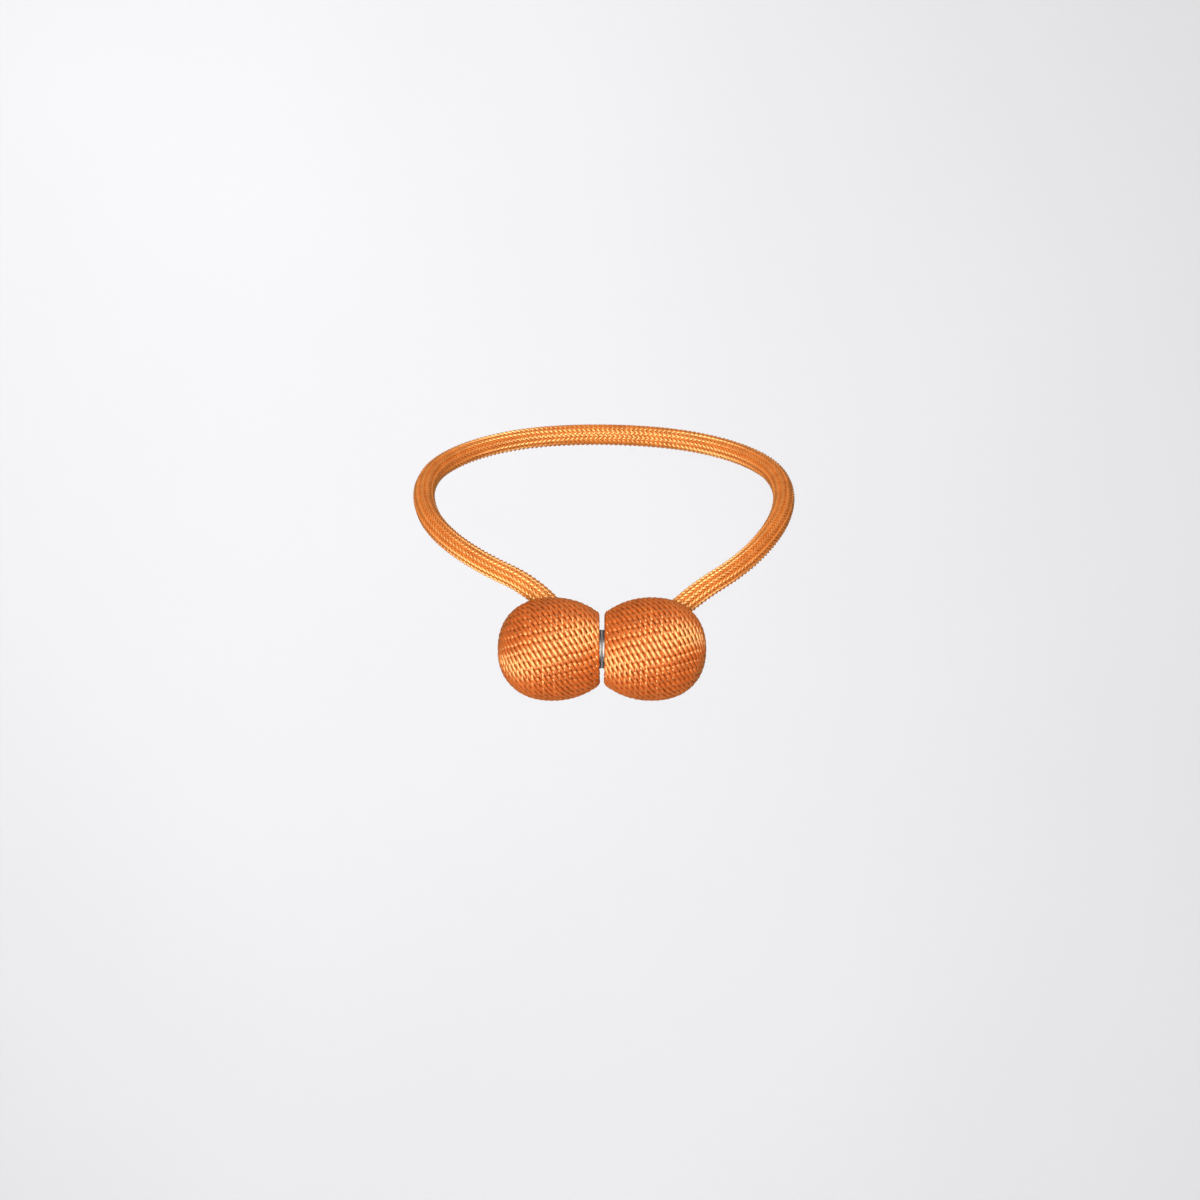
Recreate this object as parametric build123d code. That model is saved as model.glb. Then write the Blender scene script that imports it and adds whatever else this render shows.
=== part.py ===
from build123d import *
import math
import os

# A magnetic curtain tieback, closed as in use: two balls wound with yarn, clasped face to face by their
# magnets, and one braided cord that runs from ball to ball round a loop.
# Millimetres. +X runs from the left ball to the right one, +Y to the back of the loop and +Z up.
# The origin is the middle of the loop.

# Place of the clasp, where the two magnets meet, from the middle of the loop
clasp_forward = 50.0
clasp_drop = 44.0
clasp_gap = 0.1

# Ball, measured over the yarn: its widest plane stands square to X
ball_diameter = 32.0
pole_length = 17.0  # from the widest plane to the outer pole
face_length = 14.4  # from the widest plane to the flat clasp face
pole_fullness = 2.25  # exponent of the rounded outer half, where 2 is an ellipse
face_bulge = 19.9  # half axis of the ellipse that the clasp face cuts off
round_sides = 28  # flats that stand for each round of core and yarn

# Yarn winding
yarn_pitch = 1.72  # from one turn to the next
yarn_layer = 1.6  # from the crest of a turn to the core
yarn_groove = 0.6  # depth of the groove between two turns
pole_dimple = 0.8  # radius of the closed middle of the winding at the pole
rim_land = 0.4  # flat yarn edge round the magnet

# Core
core_bands = 8  # bands that its turned profile is made of

# Magnet
magnet_diameter = 12.0
magnet_thickness = 4.0
magnet_proud = 0.7  # how far it stands out of the clasp face
magnet_chamfer = 0.2
magnet_clearance = 0.1

# Cord, and the socket in each core that holds an end of it
cord_diameter = 7.0
cord_sides = 12  # flats that stand for the round of the cord
socket_clearance = 0.1  # round the cord, in the core
mouth_clearance = 0.6  # round the cord, where it parts the yarn
bore_length = 30.0  # enough to leave the ball from either seat
left_seat_offset = Vector(3.5, 1.7, 8.5)  # bottom of the socket from the middle of the ball
right_seat_offset = Vector(2.8, 1.3, 7.2)

# Route of the cord between the two seats, from the left ball round the back to the right one
cord_route = [
    Vector(-19.3, -44.7, -25.7),
    Vector(-39.1, -33.0, -16.6),
    Vector(-52.0, -20.0, -7.1),
    Vector(-57.6, -4.0, 2.2),
    Vector(-56.5, 13.0, 12.0),
    Vector(-46.0, 29.0, 19.5),
    Vector(-29.5, 41.5, 24.5),
    Vector(-10.0, 47.5, 26.5),
    Vector(11.0, 47.5, 26.3),
    Vector(31.0, 41.5, 24.0),
    Vector(47.5, 29.0, 19.0),
    Vector(57.7, 12.5, 11.6),
    Vector(58.9, -5.0, 1.7),
    Vector(53.8, -20.5, -7.9),
    Vector(43.4, -34.5, -18.2),
    Vector(27.6, -44.7, -27.7),
]
bend_share = 0.45  # of the shorter run beside a corner, taken up by its bend

# Fineness of the search for evenly spaced points on the profile
profile_samples = 2000

# Worked out from the sizes above
LEFT = -1
RIGHT = 1
clasp = Vector(0, -clasp_forward, -clasp_drop)
ball_reach = clasp_gap / 2 + magnet_proud + face_length  # from the clasp to the widest plane
magnet_radius = magnet_diameter / 2
pocket_radius = magnet_radius + magnet_clearance
rim_radius = (pocket_radius + rim_land) / math.cos(math.pi / round_sides)
pocket_floor = face_length + magnet_proud - magnet_thickness


def profile_point(angle, depth):
    """Point of the ball's profile, depth below the crests, as (distance along the axis, radius).

    The angle runs from 0 at the outer pole to pi in the middle of the clasp face.
    The distance is counted from the widest plane, positive towards the clasp.
    """
    radius = ball_diameter / 2 - depth
    if angle <= math.pi / 2:
        power = 2 / pole_fullness
        along = (pole_length - depth) * math.cos(angle) ** power
        return (-along, radius * math.sin(angle) ** power)
    along = -(face_bulge - depth) * math.cos(angle)
    cut = min(1, (face_length - depth) / along)
    return (along * cut, radius * math.sin(angle) * cut)


def profile_angles(depth, steps_for):
    """Angles of evenly spaced points along the profile, from the pole's dimple to the magnet's rim."""
    angles = [math.pi * i / profile_samples for i in range(1, profile_samples)]
    points = [profile_point(angle, depth) for angle in angles]
    middle = profile_samples // 2
    first = next(i for i in range(middle) if points[i][1] >= pole_dimple)
    last = next(i for i in range(len(points) - 1, middle, -1) if points[i][1] >= rim_radius)
    lengths = [0.0]
    for i in range(first, last):
        lengths.append(lengths[-1] + math.dist(points[i], points[i + 1]))
    steps = steps_for(lengths[-1])
    found = []
    for k in range(steps + 1):
        target = lengths[-1] * k / steps
        nearest = min(range(len(lengths)), key=lambda i: abs(lengths[i] - target))
        found.append(angles[first + nearest])
    return found


def ring_corners(side, along, radius):
    """Corners of one round of a ball, square to its axis."""
    centre = clasp + Vector(side * (ball_reach - along), 0, 0)
    turns = [2 * math.pi * i / round_sides for i in range(round_sides)]
    return [centre + Vector(0, radius * math.cos(turn), radius * math.sin(turn)) for turn in turns]


def banded_solid(side, rounds):
    """Solid with flat-sided bands between rounds given as (distance along the axis, radius)."""
    rings = [ring_corners(side, along, radius) for along, radius in rounds]
    faces = [Face(Wire.make_polygon(rings[0])), Face(Wire.make_polygon(rings[-1]))]
    for low, high in zip(rings, rings[1:]):
        for i in range(round_sides):
            flat = [low[i - 1], low[i], high[i], high[i - 1]]
            faces.append(Face(Wire.make_polygon(flat)))
    return Solid(Shell(faces))


def axial_cylinder(side, radius, low, high):
    """Cylinder on the ball's axis, between two distances from its widest plane."""
    centre = clasp + Vector(side * (ball_reach - (low + high) / 2), 0, 0)
    return Pos(centre) * Rot(0, 90, 0) * Cylinder(radius, high - low)


def ball_centre(side):
    return clasp + Vector(side * ball_reach, 0, 0)


def socket(seat, mouth, clearance):
    """Bore that takes an end of the cord, from its seat out through the ball."""
    plane = Plane(origin=seat, z_dir=mouth - seat)
    return extrude(plane * Circle(cord_diameter / 2 + clearance), bore_length)


def core_body(side):
    """The turned bead under the yarn, without its pocket and socket."""
    angles = profile_angles(yarn_layer, lambda length: core_bands)
    return banded_solid(side, [profile_point(angle, yarn_layer) for angle in angles])


def ball_core(side, seat, mouth):
    pocket = axial_cylinder(side, pocket_radius, pocket_floor, face_length)
    return core_body(side) - pocket - socket(seat, mouth, socket_clearance)


def yarn_winding(side, seat, mouth):
    """The yarn cover: a ridge for each turn, from the pole to the magnet's rim, parted for the cord."""
    angles = profile_angles(0, lambda length: 2 * round(length / yarn_pitch))
    rounds = []
    for i, angle in enumerate(angles):
        groove = yarn_groove if i % 2 else 0
        rounds.append(profile_point(angle, groove))
    window = axial_cylinder(side, pocket_radius, pocket_floor, face_length + magnet_proud)
    cover = banded_solid(side, rounds) - core_body(side) - window
    return cover - socket(seat, mouth, mouth_clearance)


def magnet(side):
    disc = axial_cylinder(side, magnet_radius, pocket_floor, face_length + magnet_proud)
    clasp_edge = disc.edges().filter_by(GeomType.CIRCLE).sort_by(Axis.X)[0 if side == RIGHT else -1]
    return chamfer(clasp_edge, magnet_chamfer)


def bend_radii(points):
    """The largest even bend at each corner of the route."""
    radii = []
    for before, corner, after in zip(points, points[1:], points[2:]):
        run_in = corner - before
        run_out = after - corner
        turn = math.radians(run_in.get_angle(run_out))
        radii.append(bend_share * min(run_in.length, run_out.length) / math.tan(turn / 2))
    return radii


def braided_cord(points):
    radii = bend_radii(points)
    path = FilletPolyline(*points, radius=radii)
    start = Plane(origin=points[0], z_dir=points[1] - points[0])
    section = RegularPolygon(cord_diameter / 2, cord_sides)
    tube = sweep(start * section, path=path)
    plain_volume = section.area * path.length
    print("cord bend radii", [round(radius, 1) for radius in radii])
    print("cord length", round(path.length, 1), "volume share", round(tube.volume / plain_volume, 4))
    return tube


os.makedirs("parts", exist_ok=True)

left_seat = ball_centre(LEFT) + left_seat_offset
right_seat = ball_centre(RIGHT) + right_seat_offset
balls = {
    "left": (LEFT, left_seat, cord_route[0]),
    "right": (RIGHT, right_seat, cord_route[-1]),
}
for name, (side, seat, mouth) in balls.items():
    export_step(ball_core(side, seat, mouth), f"parts/{name}_ball_core.step")
    export_step(yarn_winding(side, seat, mouth), f"parts/{name}_yarn_winding.step")
    export_step(magnet(side), f"parts/{name}_magnet.step")
export_step(braided_cord([left_seat, *cord_route, right_seat]), "parts/braided_cord.step")
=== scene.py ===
import math

import bpy
import numpy as np
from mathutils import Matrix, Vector


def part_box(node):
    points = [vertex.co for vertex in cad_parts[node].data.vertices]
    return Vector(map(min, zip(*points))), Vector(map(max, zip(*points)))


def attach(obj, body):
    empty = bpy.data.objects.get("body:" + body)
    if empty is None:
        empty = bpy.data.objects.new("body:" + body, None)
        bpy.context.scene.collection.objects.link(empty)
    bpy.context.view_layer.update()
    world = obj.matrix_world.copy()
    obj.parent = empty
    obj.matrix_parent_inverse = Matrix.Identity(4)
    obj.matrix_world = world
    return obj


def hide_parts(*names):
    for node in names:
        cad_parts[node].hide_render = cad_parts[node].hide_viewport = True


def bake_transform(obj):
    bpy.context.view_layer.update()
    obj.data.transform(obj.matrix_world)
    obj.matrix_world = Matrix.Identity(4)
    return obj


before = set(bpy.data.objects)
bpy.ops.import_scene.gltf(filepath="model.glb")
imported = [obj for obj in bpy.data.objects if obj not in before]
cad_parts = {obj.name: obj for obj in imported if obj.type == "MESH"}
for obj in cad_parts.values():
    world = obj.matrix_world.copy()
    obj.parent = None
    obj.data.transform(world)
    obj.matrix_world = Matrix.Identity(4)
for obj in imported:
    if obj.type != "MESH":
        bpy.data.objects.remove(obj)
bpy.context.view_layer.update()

MM = 0.001

# Ball, measured over the crests of the yarn, as its solid has it
BALL_RADIUS = 16.0 * MM
POLE_LENGTH = 17.0 * MM  # from the widest plane to the outer pole
FACE_LENGTH = 14.4 * MM  # from the widest plane to the flat clasp face
FACE_BULGE = 19.9 * MM  # half axis of the ellipse that the clasp face cuts off
FACE_EDGE = 1.6 * MM  # stretch of the profile over which the yarn turns onto the clasp face
POLE_FULLNESS = 2.25
MAGNET_PROUD = 0.7 * MM
PROFILE_SAMPLES = 6001

# Wound yarn: two plies with an S twist
YARN_PITCH = 1.72 * MM
POLE_DIMPLE = 0.8 * MM  # radius of the innermost turn at the pole
RIM_RADIUS = 7.3 * MM  # radius of the last turn, beside the magnet
PLY_HALF_HEIGHT = 0.44 * MM
PLY_HALF_WIDTH = 0.62 * MM
PLY_RISE = 0.24 * MM  # how far a ply's middle stands out where it crosses the yarn outside
PLY_SINK = 0.6 * MM  # how far it lies in where it crosses back underneath
PLY_REACH = 0.84 * MM  # how far it swings to the sides, to the edge of its turn
PLY_LEVELNESS = 4  # how long it stays level before it dives at the sides
PLY_STRAIGHTNESS = 0.95  # 0 swings like a sine, 1 runs straight from side to side
PLY_LAY = 5.7 * MM  # length of one full twist
PLY_COUNT = 2
FRONT_TURN = 0.5  # share of a turn from the start of the winding to the front
TURN_DRIFT = 0.35  # radians of twist from one turn to the next, at the front
PLY_SIDES = 8
YARN_STEP = 0.4 * MM
SHORTEST_RUN = 4  # rings in a stretch of yarn that is still drawn beside the cord
SPIRAL_SAMPLES = 60000

# Unevenness of the hand-wound yarn
YARN_SEED = 5
WANDER_LENGTH = 22.0 * MM  # how far apart the uneven places are
WANDER_TWIST = 0.35  # radians of twist
WANDER_ACROSS = 0.06 * MM
WANDER_THICKNESS = 0.05  # share of the ply's thickness

# Braided cord: S and Z strands, each over two and under two
CORD_DIAMETER = 7.0 * MM
STRANDS_EACH_WAY = 18
BRAID_LAY = 29.0 * MM
STRAND_WIDTH = 0.76 * MM
STRAND_HEIGHT = 0.84 * MM
S_STRAND_SINK = 0.15 * MM  # the S strands are drawn tighter, so their columns lie lower
STRAND_ARCH = 0.38 * MM  # how far a strand swings out over two others, and in under two
STRAND_SIDES = 6
FILLING_RADIUS = 2.45 * MM
STRAND_PROUD = 0.1 * MM  # how far the crests stand out of the cord's round
FILLING_SIDES = 12
SPLINE_STEPS = 40
YARN_CUT_RADIUS = 3.0 * MM  # the yarn is parted this far round the cord's middle

# Route of the cord in millimetres, from its seat in the left ball round the loop to the right one's
CORD_ROUTE = [
    (-11.65, -48.3, -35.5),
    (-19.3, -44.7, -25.7),
    (-39.1, -33.0, -16.6),
    (-52.0, -20.0, -7.1),
    (-57.6, -4.0, 2.2),
    (-56.5, 13.0, 12.0),
    (-46.0, 29.0, 19.5),
    (-29.5, 41.5, 24.5),
    (-10.0, 47.5, 26.5),
    (11.0, 47.5, 26.3),
    (31.0, 41.5, 24.0),
    (47.5, 29.0, 19.0),
    (57.7, 12.5, 11.6),
    (58.9, -5.0, 1.7),
    (53.8, -20.5, -7.9),
    (43.4, -34.5, -18.2),
    (27.6, -44.7, -27.7),
    (17.95, -48.7, -36.8),
]

# Camera: level, square on to the clasp
CAMERA_DISTANCE = 1.15  # from the balls
VIEW_WIDTH = 0.3696  # across the frame at the balls
CAMERA_X = -0.6 * MM
CAMERA_Z = -28.9 * MM
SENSOR_WIDTH = 36.0

# Stage
FLOOR_Z = -1.3
WALL_Y = 1.3
SWEEP_RADIUS = 0.5
SWEEP_STEPS = 15
STAGE_HALF_WIDTH = 4.0
STAGE_FRONT = -4.0

LEFT = -1
RIGHT = 1
S_WAY = -1
Z_WAY = 1
clasp_low, clasp_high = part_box("left_magnet")
CLASP_Y = (clasp_low.y + clasp_high.y) / 2
CLASP_Z = (clasp_low.z + clasp_high.z) / 2
BALL_X = {
    LEFT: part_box("left_magnet")[1].x - MAGNET_PROUD - FACE_LENGTH,
    RIGHT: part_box("right_magnet")[0].x + MAGNET_PROUD + FACE_LENGTH,
}
route = np.array(CORD_ROUTE) * MM


def unit(vectors):
    return vectors / np.linalg.norm(vectors, axis=-1, keepdims=True)


def lengths_along(line):
    steps = np.linalg.norm(np.diff(line, axis=0), axis=1)
    return np.concatenate([[0], np.cumsum(steps)])


def wander(lengths, random):
    """Smooth random values between -1 and 1 along a line."""
    knots = np.arange(0, lengths[-1] + 2 * WANDER_LENGTH, WANDER_LENGTH)
    values = random.uniform(-1, 1, len(knots))
    place = lengths / WANDER_LENGTH
    low = place.astype(int)
    share = place - low
    share = share * share * (3 - 2 * share)
    return values[low] * (1 - share) + values[low + 1] * share


def oval_rings(line, upward, half_height, half_width, sides):
    """Rings of points round a line, oval in section, the first point of each ring upward."""
    tangent = unit(np.gradient(line, axis=0))
    upward = unit(upward - (upward * tangent).sum(1, keepdims=True) * tangent)
    across = np.cross(tangent, upward)
    turn = 2 * math.pi * np.arange(sides) / sides
    rise = np.reshape(half_height, (-1, 1, 1)) * np.cos(turn)[None, :, None] * upward[:, None, :]
    reach = np.reshape(half_width, (-1, 1, 1)) * np.sin(turn)[None, :, None] * across[:, None, :]
    return line[:, None, :] + rise + reach


def tube_faces(first, count, sides):
    """Faces of a closed tube whose rings start at vertex first."""
    faces = []
    for i in range(count - 1):
        low = first + i * sides
        high = low + sides
        for k in range(sides):
            after = (k + 1) % sides
            faces.append((low + k, low + after, high + after, high + k))
    end = first + (count - 1) * sides
    faces.append(tuple(range(first + sides - 1, first - 1, -1)))
    faces.append(tuple(range(end, end + sides)))
    return faces


def tube_uv(lengths, sides):
    """Texture places of a tube's faces: metres along it, and the share of the way round."""
    count = len(lengths)
    along = np.empty((count - 1, sides, 4))
    along[:, :, :2] = lengths[:-1, None, None]
    along[:, :, 2:] = lengths[1:, None, None]
    here = np.arange(sides) / sides
    after = here + 1 / sides
    around = np.broadcast_to(np.stack([here, after, after, here], axis=1), along.shape)
    walls = np.stack([along, around], axis=-1).reshape(-1, 2)
    caps = np.repeat([[lengths[0], 0], [lengths[-1], 0]], sides, axis=0)
    return np.concatenate([walls, caps])


def tubes_object(name, tubes, material):
    """One smooth mesh of closed tubes, each given as its rings and the lengths along it."""
    points, faces, places = [], [], []
    first = 0
    for rings, lengths in tubes:
        count, sides, _ = rings.shape
        points.append(rings.reshape(-1, 3))
        faces += tube_faces(first, count, sides)
        places.append(tube_uv(lengths, sides))
        first += count * sides
    mesh = bpy.data.meshes.new(name)
    mesh.from_pydata(np.concatenate(points).tolist(), [], faces)
    layer = mesh.uv_layers.new(name="yarn")
    layer.data.foreach_set("uv", np.concatenate(places).astype(np.float32).ravel())
    mesh.shade_smooth()
    mesh.materials.append(material)
    piece = bpy.data.objects.new(name, mesh)
    bpy.context.scene.collection.objects.link(piece)
    return piece


def ball_profile():
    """The ball's profile over the crests, from pole to clasp: lengths along it, points and normals.

    A point is a place on the axis, counted from the widest plane, and a radius.
    """
    angle = np.linspace(0, math.pi / 2, PROFILE_SAMPLES)
    power = 2 / POLE_FULLNESS
    pole_place = -POLE_LENGTH * np.cos(angle) ** power
    pole_radius = BALL_RADIUS * np.sin(angle) ** power
    pole_half = np.stack([pole_place, pole_radius], axis=1)
    face_half = np.stack([FACE_BULGE * np.sin(angle), BALL_RADIUS * np.cos(angle)], axis=1)[1:]
    face_half *= np.minimum(1, FACE_LENGTH / face_half[:, :1])
    outline = np.concatenate([pole_half, face_half])
    lengths = lengths_along(outline)
    even = np.linspace(0, lengths[-1], PROFILE_SAMPLES)
    outline = np.stack([np.interp(even, lengths, outline[:, k]) for k in range(2)], axis=1)
    window = int(FACE_EDGE / even[1])
    average = np.ones(window) / window
    rounded = np.stack([np.convolve(outline[:, k], average, "same") for k in range(2)], axis=1)
    past_widest = (outline[:, :1] > 0) & (even[:, None] < lengths[-1] - FACE_EDGE)
    outline = np.where(past_widest, rounded, outline)
    tangent = unit(np.gradient(outline, axis=0))
    normal = np.stack([-tangent[:, 1], tangent[:, 0]], axis=1)
    return lengths_along(outline), outline, normal


def yarn_spiral(side):
    """The middle of the wound yarn, evenly spaced, with its outward directions, lengths and turns."""
    lengths, outline, normal = ball_profile()
    half = int(np.argmax(outline[:, 1]))
    start = np.interp(POLE_DIMPLE, outline[:half, 1], lengths[:half])
    end = np.interp(-RIM_RADIUS, -outline[half:, 1], lengths[half:])
    depth = PLY_RISE + PLY_HALF_HEIGHT

    def spiral(place):
        along, radius = (np.interp(place, lengths, outline[:, k]) for k in range(2))
        lean, rise = (np.interp(place, lengths, normal[:, k]) for k in range(2))
        turn = 2 * math.pi * (place - start) / YARN_PITCH
        radial = np.stack([np.zeros_like(turn), np.cos(turn), np.sin(turn)], axis=1)
        outward = rise[:, None] * radial
        outward[:, 0] = -side * lean
        line = (radius - depth * rise)[:, None] * radial
        line += (BALL_X[side], CLASP_Y, CLASP_Z)
        line[:, 0] -= side * (along - depth * lean)
        return line, outward

    fine_place = np.linspace(start, end, SPIRAL_SAMPLES)
    fine_lengths = lengths_along(spiral(fine_place)[0])
    count = int(fine_lengths[-1] / YARN_STEP)
    wanted = np.linspace(0, fine_lengths[-1], count)
    line, outward = spiral(np.interp(wanted, fine_lengths, fine_place))
    turns = (np.interp(wanted, fine_lengths, fine_place) - start) / YARN_PITCH
    return line, unit(outward), wanted, turns


def locked_twist(turns, lengths):
    """Twist of the plies along the yarn, eased so that neighbouring turns lie in step at the front."""
    from_front = turns - FRONT_TURN
    whole = np.arange(0, math.floor(from_front[-1]) + 1)
    knots = np.interp(whole, from_front, lengths)
    half_twists = np.round(np.diff(knots) / (PLY_LAY / 2))
    twist = np.interp(lengths, knots, math.pi * np.concatenate([[0], np.cumsum(half_twists)]))
    past_the_knots = lengths - np.clip(lengths, knots[0], knots[-1])
    return -twist - 2 * math.pi * past_the_knots / PLY_LAY


def clear_runs(line, seat, mouth):
    """Stretches of the yarn, as slices, that the cord doesn't pass through."""
    direction = unit(mouth - seat)
    ahead = (line - seat) @ direction
    off = np.linalg.norm(line - seat - ahead[:, None] * direction, axis=1)
    clear = (off > YARN_CUT_RADIUS) | (ahead < 0)
    edges = np.flatnonzero(np.diff(clear.astype(int))) + 1
    stretches = np.split(np.arange(len(line)), edges)
    return [slice(s[0], s[-1] + 1) for s in stretches if clear[s[0]] and len(s) >= SHORTEST_RUN]


def wound_yarn(name, side, seat, mouth, material):
    """The two-ply yarn of one ball, wound from the pole to the magnet and parted round the cord."""
    random = np.random.default_rng(YARN_SEED + side)
    line, outward, lengths, turns = yarn_spiral(side)
    tangent = unit(np.gradient(line, axis=0))
    outward = unit(outward - (outward * tangent).sum(1, keepdims=True) * tangent)
    across = np.cross(tangent, outward)
    line = line + WANDER_ACROSS * wander(lengths, random)[:, None] * across
    twist = locked_twist(turns, lengths) + side * TURN_DRIFT * turns
    twist += WANDER_TWIST * wander(lengths, random)
    runs = clear_runs(line, seat, mouth)
    tubes = []
    for ply in range(PLY_COUNT):
        phase = twist + 2 * math.pi * ply / PLY_COUNT
        swing = np.arcsin(PLY_STRAIGHTNESS * np.sin(phase)) / math.asin(PLY_STRAIGHTNESS)
        level = np.where(np.cos(phase) > 0, PLY_RISE, -PLY_SINK)
        up = (level * (1 - swing ** PLY_LEVELNESS))[:, None] * outward
        sideways = PLY_REACH * swing[:, None] * across
        swell = 1 + WANDER_THICKNESS * wander(lengths, random)
        middle = line + up + sideways
        rings = oval_rings(middle, outward, PLY_HALF_HEIGHT * swell, PLY_HALF_WIDTH * swell, PLY_SIDES)
        tubes += [(rings[run], lengths[run]) for run in runs]
    return tubes_object(name, tubes, material)


def cord_centreline():
    """Points read from the cord's spline."""
    curve = bpy.data.curves.new("cord_route", "CURVE")
    curve.dimensions = "3D"
    curve.resolution_u = SPLINE_STEPS
    spline = curve.splines.new("NURBS")
    spline.points.add(len(route) - 1)
    for point, place in zip(spline.points, route):
        point.co = (*place, 1)
    spline.order_u = 3
    spline.use_endpoint_u = True
    holder = bpy.data.objects.new("cord_route", curve)
    mesh = bpy.data.meshes.new_from_object(holder)
    line = np.array([vertex.co for vertex in mesh.vertices])
    bpy.data.meshes.remove(mesh)
    bpy.data.curves.remove(curve)
    return line


def cord_frames(line, step):
    """Even points of the cord's line, two directions square to it that don't twist along it, and lengths."""
    lengths = lengths_along(line)
    count = int(lengths[-1] / step) + 1
    wanted = np.arange(count) * step
    line = np.stack([np.interp(wanted, lengths, line[:, k]) for k in range(3)], axis=1)
    tangent = unit(np.gradient(line, axis=0))
    upward = np.empty_like(line)
    upward[0] = unit(np.cross(np.cross(tangent[0], (0, 0, 1)), tangent[0]))
    for i in range(1, count):
        carried = upward[i - 1] - (upward[i - 1] @ tangent[i]) * tangent[i]
        upward[i] = unit(carried)
    return line, upward, np.cross(tangent, upward), wanted


def braided_cord(material):
    """The cord and its middle line: S and Z strands braided over two and under two, round a filling."""
    columns = 2 * STRANDS_EACH_WAY
    line, upward, across, lengths = cord_frames(cord_centreline(), BRAID_LAY / columns)
    crossing = np.arange(len(line))
    middle = CORD_DIAMETER / 2 + STRAND_PROUD - STRAND_HEIGHT / 2 - STRAND_ARCH
    tubes = []
    for way in (Z_WAY, S_WAY):
        for strand in range(STRANDS_EACH_WAY):
            column = way * (crossing + 0.5) + 2 * strand
            angle = 2 * math.pi * column / columns
            out = np.cos(angle)[:, None] * upward + np.sin(angle)[:, None] * across
            radius = middle + way * STRAND_ARCH * np.cos(math.pi * (column - 0.5) / 2)
            radius -= S_STRAND_SINK if way == S_WAY else 0
            path = line + radius[:, None] * out
            rings = oval_rings(path, out, STRAND_HEIGHT / 2, STRAND_WIDTH / 2, STRAND_SIDES)
            tubes.append((rings, lengths_along(path)))
    filling = oval_rings(line, upward, FILLING_RADIUS, FILLING_RADIUS, FILLING_SIDES)
    tubes.append((filling, lengths))
    return tubes_object("braided_cord_strands", tubes, material), line


def node_maker(material):
    """A function that adds a node of the given kind and sets its inputs and properties by name."""
    nodes = material.node_tree.nodes
    links = material.node_tree.links

    def make(kind, inputs=None, **properties):
        node = nodes.new("ShaderNode" + kind)
        for name, value in properties.items():
            setattr(node, name, value)
        for name, value in (inputs or {}).items():
            if isinstance(value, bpy.types.NodeSocket):
                links.new(value, node.inputs[name])
            else:
                node.inputs[name].default_value = value
        return node

    return make


def new_material(name):
    material = bpy.data.materials.new(name)
    material.use_nodes = True
    material.node_tree.nodes.clear()
    return material, node_maker(material)


def satin_yarn(name, deep, mid, pale):
    """Satin yarn: filaments along each strand in three tones, with a warm gloss narrow along them."""
    material, make = new_material(name)
    place = make("UVMap", uv_map="yarn").outputs["UV"]
    fibres = make("Mapping", {"Vector": place, "Scale": (900, 16, 1)}).outputs["Vector"]
    streaks = make("TexNoise", {"Vector": fibres, "Scale": 1.0, "Detail": 2.0, "Roughness": 0.6})
    where = make("TexCoord").outputs["Object"]
    patches = make("TexNoise", {"Vector": where, "Scale": 260.0, "Detail": 2.0})
    tone = make(
        "Math",
        {0: streaks.outputs["Fac"], 1: patches.outputs["Fac"]},
        operation="ADD",
    )
    shade = make("Math", {0: tone.outputs["Value"], 1: 0.5}, operation="MULTIPLY")
    ramp = make("ValToRGB", {"Fac": shade.outputs["Value"]})
    stops = ramp.color_ramp.elements
    stops[0].position = 0.32
    stops[0].color = (*deep, 1)
    stops[1].position = 0.68
    stops[1].color = (*pale, 1)
    middle = stops.new(0.5)
    middle.color = (*mid, 1)
    bump = make("Bump", {"Height": streaks.outputs["Fac"], "Strength": 0.25, "Distance": 0.06 * MM})
    tangent = make("Tangent", direction_type="UV_MAP", uv_map="yarn")
    body = make(
        "BsdfPrincipled",
        {
            "Base Color": ramp.outputs["Color"],
            "Roughness": 0.8,
            "Specular IOR Level": 0.0,
            "Sheen Weight": 0.05,
            "Sheen Roughness": 0.4,
            "Sheen Tint": (1.0, 0.6, 0.25, 1),
            "Normal": bump.outputs["Normal"],
        },
    )
    gloss = make(
        "BsdfAnisotropic",
        {
            "Color": (1.0, 0.78, 0.34, 1),
            "Roughness": 0.46,
            "Anisotropy": 0.42,
            "Normal": bump.outputs["Normal"],
            "Tangent": tangent.outputs["Tangent"],
        },
    )
    satin = make("MixShader", {"Fac": 0.23, 1: body.outputs["BSDF"], 2: gloss.outputs["BSDF"]})
    make("OutputMaterial", {"Surface": satin.outputs["Shader"]})
    return material


def nickel_plate():
    """Nickel plate with slight tarnish."""
    material, make = new_material("nickel_plate")
    where = make("TexCoord").outputs["Object"]
    tarnish = make("TexNoise", {"Vector": where, "Scale": 900.0, "Detail": 3.0})
    ramp = make("ValToRGB", {"Fac": tarnish.outputs["Fac"]})
    ramp.color_ramp.elements[0].color = (0.14, 0.13, 0.12, 1)
    ramp.color_ramp.elements[1].color = (0.27, 0.26, 0.25, 1)
    rough = make("MapRange", {"Value": tarnish.outputs["Fac"], "To Min": 0.38, "To Max": 0.52})
    bump = make("Bump", {"Height": tarnish.outputs["Fac"], "Strength": 0.1, "Distance": 0.02 * MM})
    shader = make(
        "BsdfPrincipled",
        {
            "Base Color": ramp.outputs["Color"],
            "Metallic": 1.0,
            "Roughness": rough.outputs["Result"],
            "Normal": bump.outputs["Normal"],
        },
    )
    make("OutputMaterial", {"Surface": shader.outputs["BSDF"]})
    return material


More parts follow.
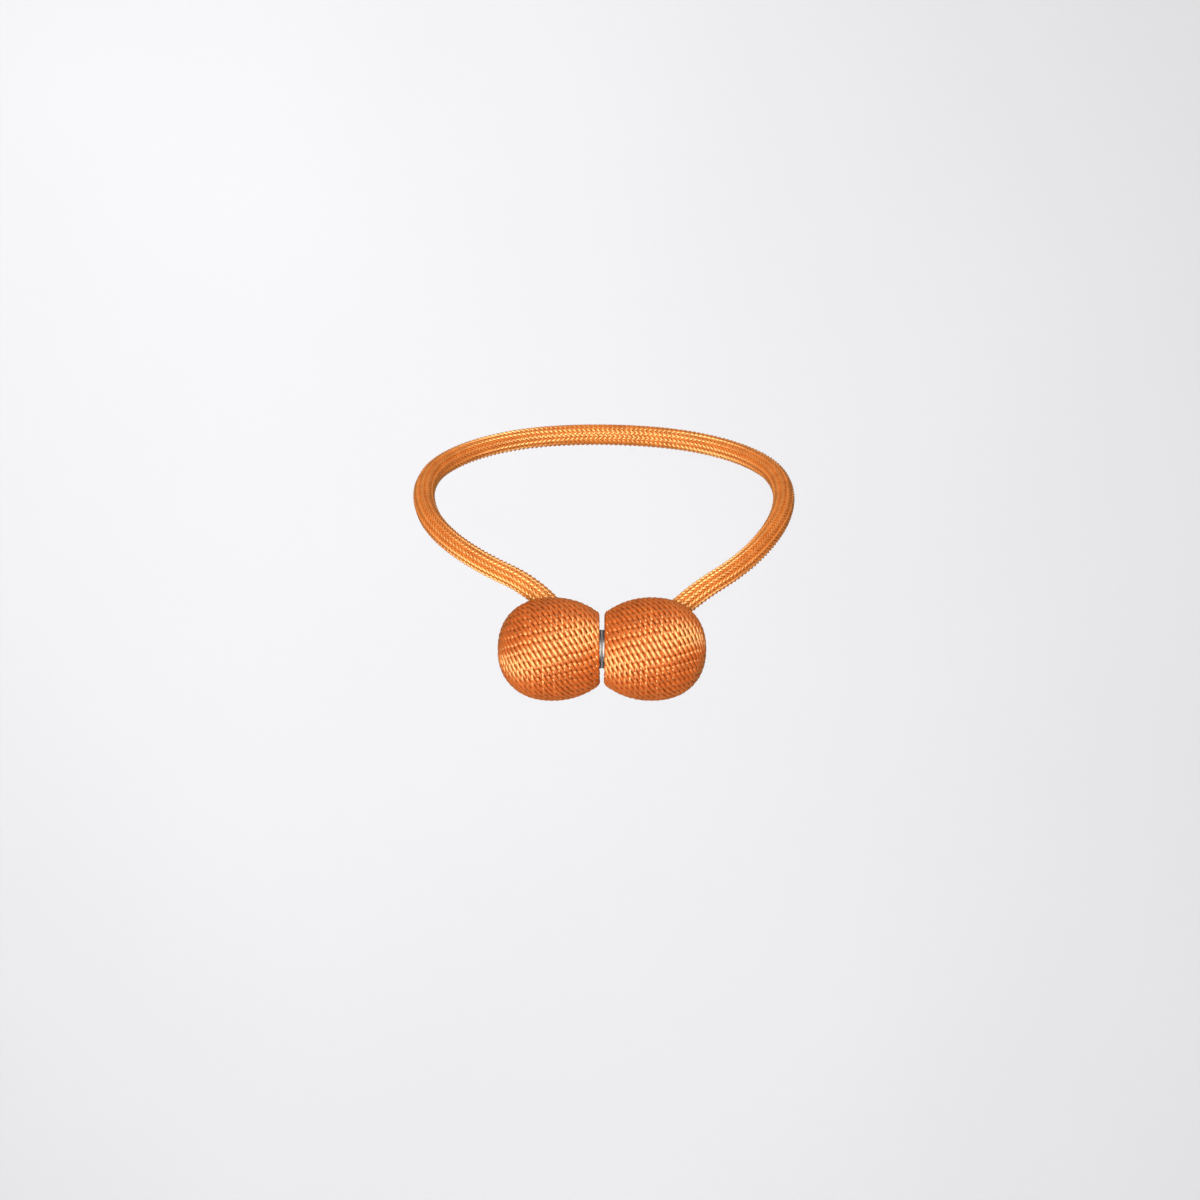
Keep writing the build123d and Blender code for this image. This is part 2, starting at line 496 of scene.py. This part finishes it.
def stained_wood():
    """Turned wood stained like the yarn that covers it."""
    material, make = new_material("stained_wood")
    where = make("TexCoord").outputs["Object"]
    rings = make(
        "TexWave",
        {"Vector": where, "Scale": 300.0, "Distortion": 6.0, "Detail": 2.0},
        wave_type="RINGS",
    )
    ramp = make("ValToRGB", {"Fac": rings.outputs["Fac"]})
    ramp.color_ramp.elements[0].color = (0.34, 0.05, 0.004, 1)
    ramp.color_ramp.elements[1].color = (0.44, 0.075, 0.006, 1)
    shader = make("BsdfPrincipled", {"Base Color": ramp.outputs["Color"], "Roughness": 0.7})
    make("OutputMaterial", {"Surface": shader.outputs["BSDF"]})
    return material


def stage_paint():
    """Matt pale paint with a very slight unevenness."""
    material, make = new_material("stage_paint")
    where = make("TexCoord").outputs["Object"]
    mottle = make("TexNoise", {"Vector": where, "Scale": 3.0, "Detail": 2.0})
    ramp = make("ValToRGB", {"Fac": mottle.outputs["Fac"]})
    ramp.color_ramp.elements[0].color = (0.64, 0.64, 0.66, 1)
    ramp.color_ramp.elements[1].color = (0.68, 0.68, 0.70, 1)
    shader = make("BsdfPrincipled", {"Base Color": ramp.outputs["Color"], "Roughness": 0.9})
    make("OutputMaterial", {"Surface": shader.outputs["BSDF"]})
    return material


def studio_sweep():
    """A floor well below the hanging part, which curves up into a back wall."""
    outline = [(STAGE_FRONT, FLOOR_Z)]
    for angle in np.linspace(0, math.pi / 2, SWEEP_STEPS + 1):
        y = WALL_Y - SWEEP_RADIUS + SWEEP_RADIUS * math.sin(angle)
        z = FLOOR_Z + SWEEP_RADIUS - SWEEP_RADIUS * math.cos(angle)
        outline.append((y, z))
    outline.append((WALL_Y, -STAGE_FRONT))
    points = [(x, y, z) for y, z in outline for x in (-STAGE_HALF_WIDTH, STAGE_HALF_WIDTH)]
    faces = [(2 * i, 2 * i + 1, 2 * i + 3, 2 * i + 2) for i in range(len(outline) - 1)]
    mesh = bpy.data.meshes.new("studio_sweep")
    mesh.from_pydata(points, [], faces)
    mesh.shade_smooth()
    mesh.materials.append(stage_paint())
    sweep = bpy.data.objects.new("studio_sweep", mesh)
    bpy.context.scene.collection.objects.link(sweep)


def soft_light(name, place, target, size, spread, power, colour):
    """A rectangular lamp aimed at a target, its size in metres, spread in degrees and power in watts."""
    light = bpy.data.lights.new(name, "AREA")
    light.shape = "RECTANGLE"
    light.size, light.size_y = size
    light.spread = math.radians(spread)
    light.energy = power
    light.color = colour
    lamp = bpy.data.objects.new(name, light)
    lamp.location = place
    lamp.rotation_euler = (Vector(target) - Vector(place)).to_track_quat("-Z", "Y").to_euler()
    bpy.context.scene.collection.objects.link(lamp)


def studio_light():
    balls = (0, CLASP_Y, CLASP_Z)
    wall = (-0.22, WALL_Y, -0.05)
    warm = (1.0, 0.98, 0.95)
    cool = (0.97, 0.98, 1.0)
    soft_light("front_key", (-0.1, -1.35, -0.08), balls, size=(0.6, 2.2), spread=110, power=26, colour=warm)
    soft_light("top_fill", (-0.2, -0.3, 2.2), balls, size=(4.0, 4.0), spread=180, power=20, colour=cool)
    soft_light("wall_wash", (-0.9, 0.3, 1.1), wall, size=(0.8, 0.8), spread=70, power=2.5, colour=cool)
    world = bpy.data.worlds.new("studio")
    world.use_nodes = True
    background = world.node_tree.nodes["Background"]
    background.inputs["Color"].default_value = (0.94, 0.96, 1.0, 1)
    background.inputs["Strength"].default_value = 0.13
    bpy.context.scene.world = world


def photo_camera():
    data = bpy.data.cameras.new("photo_camera")
    data.sensor_width = SENSOR_WIDTH
    data.lens = SENSOR_WIDTH * CAMERA_DISTANCE / VIEW_WIDTH
    camera = bpy.data.objects.new("photo_camera", data)
    camera.location = (CAMERA_X, CLASP_Y - CAMERA_DISTANCE, CAMERA_Z)
    camera.rotation_euler = (math.pi / 2, 0, 0)
    bpy.context.scene.collection.objects.link(camera)
    bpy.context.scene.camera = camera


def dress_nodes():
    """Detailed finishes on the solids that are shown as they are."""
    finishes = {"magnet": nickel_plate(), "ball_core": stained_wood()}
    for side in ("left", "right"):
        for part, material in finishes.items():
            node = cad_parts[f"{side}_{part}"]
            node.data.materials.clear()
            node.data.materials.append(material)


bpy.context.scene.view_settings.view_transform = "Standard"
photo_camera()
studio_sweep()
studio_light()
dress_nodes()

cord_yarn = satin_yarn(
    "cord_yarn",
    deep=(0.36, 0.072, 0.007),
    mid=(0.47, 0.118, 0.017),
    pale=(0.56, 0.16, 0.028),
)
cord, cord_path = braided_cord(cord_yarn)
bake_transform(cord)
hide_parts("braided_cord")

wound = satin_yarn(
    "wound_yarn",
    deep=(0.29, 0.038, 0.002),
    mid=(0.40, 0.060, 0.004),
    pale=(0.48, 0.084, 0.006),
)
left_yarn = wound_yarn("left_wound_yarn", LEFT, route[0], route[1], wound)
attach(left_yarn, "cord_and_left_ball")
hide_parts("left_yarn_winding")
right_yarn = wound_yarn("right_wound_yarn", RIGHT, route[-1], route[-2], wound)
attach(right_yarn, "right_ball")
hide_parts("right_yarn_winding")
